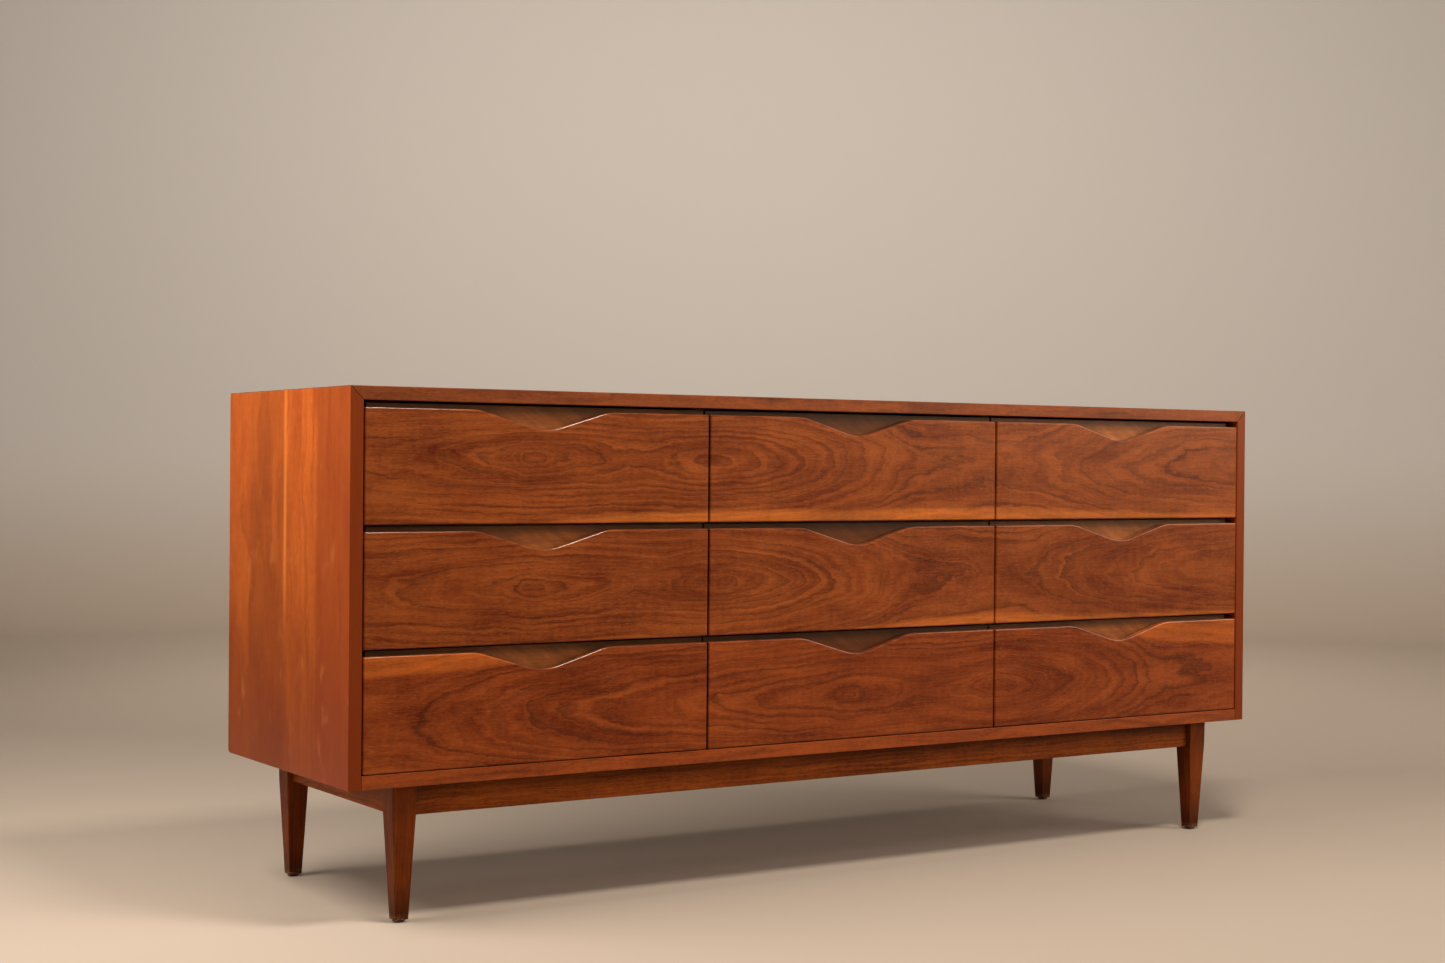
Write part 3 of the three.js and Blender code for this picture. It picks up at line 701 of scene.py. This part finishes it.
def add_corner_blocks():
    """Triangular glue blocks inside the base's corners, each with two screws."""
    wood = board_material("corner_block_wood", "Z", "X", FRAME, (500, 0), 6.0, 11.0, roughness=0.6)
    steel = metal_material("screw_steel", (0.55, 0.52, 0.47, 1), (0.32, 0.30, 0.27, 1), 0.4)
    reach = 52 * MM
    gap = 0.3 * MM
    for end in ENDS:
        for hand in HANDS:
            side_apron, end_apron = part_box(f"apron_{hand}"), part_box(f"apron_{end}")
            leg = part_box(f"leg_{end}_{hand}")
            sx = 1 if hand == "left" else -1
            sy = 1 if end == "front" else -1
            x = (side_apron[1].x if sx > 0 else side_apron[0].x) + sx * gap
            y = (end_apron[1].y if sy > 0 else end_apron[0].y) + sy * gap
            leg_x = (leg[1].x if sx > 0 else leg[0].x) + sx * gap
            leg_y = (leg[1].y if sy > 0 else leg[0].y) + sy * gap
            low, high = end_apron[0].z + 8 * MM, end_apron[1].z - gap
            outline = [
                (leg_x, y),
                (leg_x + sx * reach, y),
                (x, leg_y + sy * reach),
                (x, leg_y),
                (leg_x, leg_y),
            ]
            if sx * sy < 0:
                outline.reverse()
            mesh = bmesh.new()
            bottom = [mesh.verts.new((*p, low)) for p in outline]
            face = mesh.faces.new(bottom)
            grown = bmesh.ops.extrude_face_region(mesh, geom=[face])
            top = [v for v in grown["geom"] if isinstance(v, bmesh.types.BMVert)]
            bmesh.ops.translate(mesh, verts=top, vec=(0, 0, high - low))
            bmesh.ops.recalc_face_normals(mesh, faces=mesh.faces)
            block = new_object(f"corner_block_{end}_{hand}", mesh)
            block.data.materials.append(wood)
            soften(block, 0.0012)
            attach(block, "case")
            mesh = bmesh.new()
            for along_x, along_y in BLOCK_SCREWS:
                spot = Vector((leg_x + sx * along_x * reach, leg_y + sy * along_y * reach, low))
                add_screw(mesh, spot, Vector((0, 0, -1)), 4.2 * MM)
            screws = new_object(f"block_screws_{end}_{hand}", mesh, smooth=True)
            screws.data.materials.append(steel)
            soften_turned(screws)
            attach(screws, "case")


# Parts of the head's radius.
SCREW_PROFILE = ((0, 0), (1, 0), (1, 0.18), (0.9, 0.38), (0.7, 0.55), (0.4, 0.66), (0, 0.7))


def add_screw(mesh, place, direction, radius):
    """A domed screw head, standing on a surface."""
    profile = [(r * radius, h * radius) for r, h in SCREW_PROFILE]
    add_turned(mesh, place, profile, direction, around=24)


def soften_turned(piece):
    edge = piece.modifiers.new("arris", "BEVEL")
    edge.width = 0.0002
    edge.segments = 2
    edge.limit_method = "ANGLE"
    edge.angle_limit = math.radians(40)


# Parts of the head's radius.
NAIL_PROFILE = ((0, 0), (1, 0), (1, 0.3), (0.8, 0.5), (0, 0.55))


def add_back_nails():
    """Small nail heads round the back panel."""
    low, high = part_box("back_panel")
    inset = 6 * MM
    spacing = 110 * MM
    radius = 2 * MM
    mesh = bmesh.new()
    spots = []
    across = round((high.x - low.x) / spacing)
    upward = round((high.z - low.z) / spacing)
    for i in range(across + 1):
        x = low.x + inset + (high.x - low.x - 2 * inset) * i / across
        spots += [(x, low.z + inset), (x, high.z - inset)]
    for i in range(1, upward):
        z = low.z + inset + (high.z - low.z - 2 * inset) * i / upward
        spots += [(low.x + inset, z), (high.x - inset, z)]
    profile = [(r * radius, h * radius) for r, h in NAIL_PROFILE]
    for x, z in spots:
        add_turned(mesh, (x, high.y, z), profile, Vector((0, 1, 0)), around=12)
    nails = new_object("back_panel_nails", mesh, smooth=True)
    steel = metal_material("nail_steel", (0.30, 0.28, 0.26, 1), (0.12, 0.11, 0.10, 1), 0.45)
    nails.data.materials.append(steel)
    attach(nails, "case")


# ---------------------------------------------------------------- the drawers

LIP_THICKNESS = 12 * MM
SIDE_THICKNESS = 12 * MM
BOX_HEIGHT = 157 * MM
BACK_DROP = 4 * MM  # how far the back's upper edge is below the sides'
PANEL_GROOVE = 6 * MM
PANEL_THICKNESS = 5 * MM
GAP = 0.2 * MM
SCREW_SPREAD = 190 * MM  # of the face screws, from the drawer's middle
SCREW_HEIGHTS = (45 * MM, 120 * MM)  # above the underside of the box

# How bright the inner fronts are, along a row: the centre one is the darkest and the reddest.
LIP_BOARDS = ((0, 1.05), (540, 1.05), (610, 0.6), (1130, 0.6), (1200, 1.2), (1738, 1.2))


def lip_material(row):
    """The inner fronts: olive-brown, with slanting stripes, and painted shade along the upper edge."""
    graph = Graph(f"lip_wood_{row}")
    x, z, y = graph.place("X", "Z")
    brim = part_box(f"face_{row}_centre")[1].z / MM
    # Painted shade: darker along the upper edge, in the shadow of the row above.
    height_tone = graph.math("MULTIPLY_ADD", graph.span(z, brim + 3, brim - 14), 0.72, 0.28)
    slant = graph.math("MULTIPLY_ADD", z, 1.5, x)
    bands = graph.vector(graph.math("MULTIPLY", slant, 1 / 21), graph.math("MULTIPLY", z, 1 / 60), 0.0)
    stripes = graph.noise(bands, 3)
    rings = board_rings(graph, x, z, y, (300, 90), 6.0, 12.4)
    colour, relief, streak, _ = wood_grain(graph, x, z, y, rings, LIP, 12.4, line=0.35, pores=0.5)
    striped = graph.math("MULTIPLY_ADD", graph.span(stripes, 0.32, 0.68), 0.42, 0.88)
    strip = graph.math("ADD", x, -STRIP_START / MM)
    board = graph.curve(strip, LIP_BOARDS, (0, STRIP_LENGTH / MM), (0, 2))
    redder = graph.math("MULTIPLY", graph.span(board, 1.0, 0.6), 0.45)
    colour = graph.mix(redder, colour, (0.30, 0.055, 0.0080, 1))
    shade = graph.math("MULTIPLY", graph.math("MULTIPLY", height_tone, striped), board)
    return finish_wood(graph, graph.shade(colour, shade), relief, streak, roughness=0.42)


def add_board(name, low, high, material, body):
    mesh = bmesh.new()
    add_box(mesh, low, high)
    board = new_object(name, mesh)
    board.data.materials.append(material)
    soften(board, 0.0008)
    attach(board, body)
    return board


def add_drawer_boards(row, column, materials):
    """The inner front, the sides and the back that stand for the CAD's one-piece drawer walls."""
    place = f"{row}_{column}"
    body = f"drawer_{place}"
    low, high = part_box(f"box_{place}")
    panel_low, panel_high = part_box(f"panel_{place}")
    lip_back = low.y + LIP_THICKNESS
    top = low.z + BOX_HEIGHT
    lip_high = (high.x, lip_back - GAP, high.z)
    lip = add_board(f"inner_front_{place}", low, lip_high, materials["lip"], body)
    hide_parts(f"box_{place}")
    panel_edges = {"left": panel_low.x + PANEL_GROOVE, "right": panel_high.x - PANEL_GROOVE}
    inner = {}
    for hand, sign in (("left", 1), ("right", -1)):
        inner[hand] = panel_edges[hand]
        x = (inner[hand] - sign * SIDE_THICKNESS, inner[hand])
        name = f"drawer_side_{hand}_{place}"
        side = add_grooved_side(name, x, (lip_back, high.y), (low.z, top), sign, panel_high.z)
        side.data.materials.append(materials["side"])
        soften(side, 0.0007)
        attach(side, body)
    back_low = (inner["left"] + GAP, high.y - SIDE_THICKNESS, panel_high.z + GAP)
    back_high = (inner["right"] - GAP, high.y - GAP, top - BACK_DROP)
    add_board(f"drawer_back_{place}", back_low, back_high, materials["back"], body)


def add_grooved_side(name, x, y, z, sign, panel_top):
    """A drawer side with the groove for the bottom panel, drawn as a section and pushed along Y."""
    outer, inner = x
    bottom_of_groove = inner - sign * (PANEL_GROOVE + GAP)
    groove = (panel_top - PANEL_THICKNESS - GAP, panel_top + GAP)
    section = [
        (outer, z[0]), (inner, z[0]), (inner, groove[0]), (bottom_of_groove, groove[0]),
        (bottom_of_groove, groove[1]), (inner, groove[1]), (inner, z[1]), (outer, z[1]),
    ]
    mesh = bmesh.new()
    near = [mesh.verts.new((u, y[0], v)) for u, v in section]
    far = [mesh.verts.new((u, y[1], v)) for u, v in section]
    mesh.faces.new(near)
    mesh.faces.new(list(reversed(far)))
    for i in range(len(section)):
        j = (i + 1) % len(section)
        mesh.faces.new((near[j], near[i], far[i], far[j]))
    bmesh.ops.recalc_face_normals(mesh, faces=mesh.faces)
    return new_object(name, mesh)


def add_face_screws(row, column, steel):
    """Four screws that hold the face, driven from inside the drawer through the inner front."""
    place = f"{row}_{column}"
    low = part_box(f"box_{place}")[0]
    panel_low, panel_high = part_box(f"panel_{place}")
    centre = (panel_low.x + panel_high.x) / 2
    surface = low.y + LIP_THICKNESS - GAP
    mesh = bmesh.new()
    for side in (-1, 1):
        for height in SCREW_HEIGHTS:
            spot = Vector((centre + side * SCREW_SPREAD, surface, low.z + height))
            add_screw(mesh, spot, Vector((0, 1, 0)), 4.0 * MM)
    screws = new_object(f"face_screws_{place}", mesh, smooth=True)
    screws.data.materials.append(steel)
    soften_turned(screws)
    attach(screws, f"drawer_{place}")


def dress_drawers():
    boards = {
        "side": board_material(
            "drawer_side_wood", "Y", "Z", INNER, (500, -200), 7.0, 13.3, roughness=0.5
        ),
        "back": board_material(
            "drawer_back_wood", "X", "Z", INNER, (450, 350), 7.0, 14.8, roughness=0.5
        ),
    }
    panel = panel_material("panel_ply", 15.2)
    steel = metal_material("face_screw_steel", (0.60, 0.57, 0.52, 1), (0.35, 0.33, 0.30, 1), 0.4)
    for row in ROWS:
        veneer = face_material(row)
        boards["lip"] = lip_material(row)
        for column in COLUMNS:
            dress(f"face_{row}_{column}", veneer, 0.0026)
            dress(f"panel_{row}_{column}", panel, 0.0004)
            add_drawer_boards(row, column, boards)
            add_face_screws(row, column, steel)


# ---------------------------------------------------------------- the whole scene

add_camera()
add_light()
add_floor()
dress_case()
dress_base()
add_back_nails()
dress_drawers()
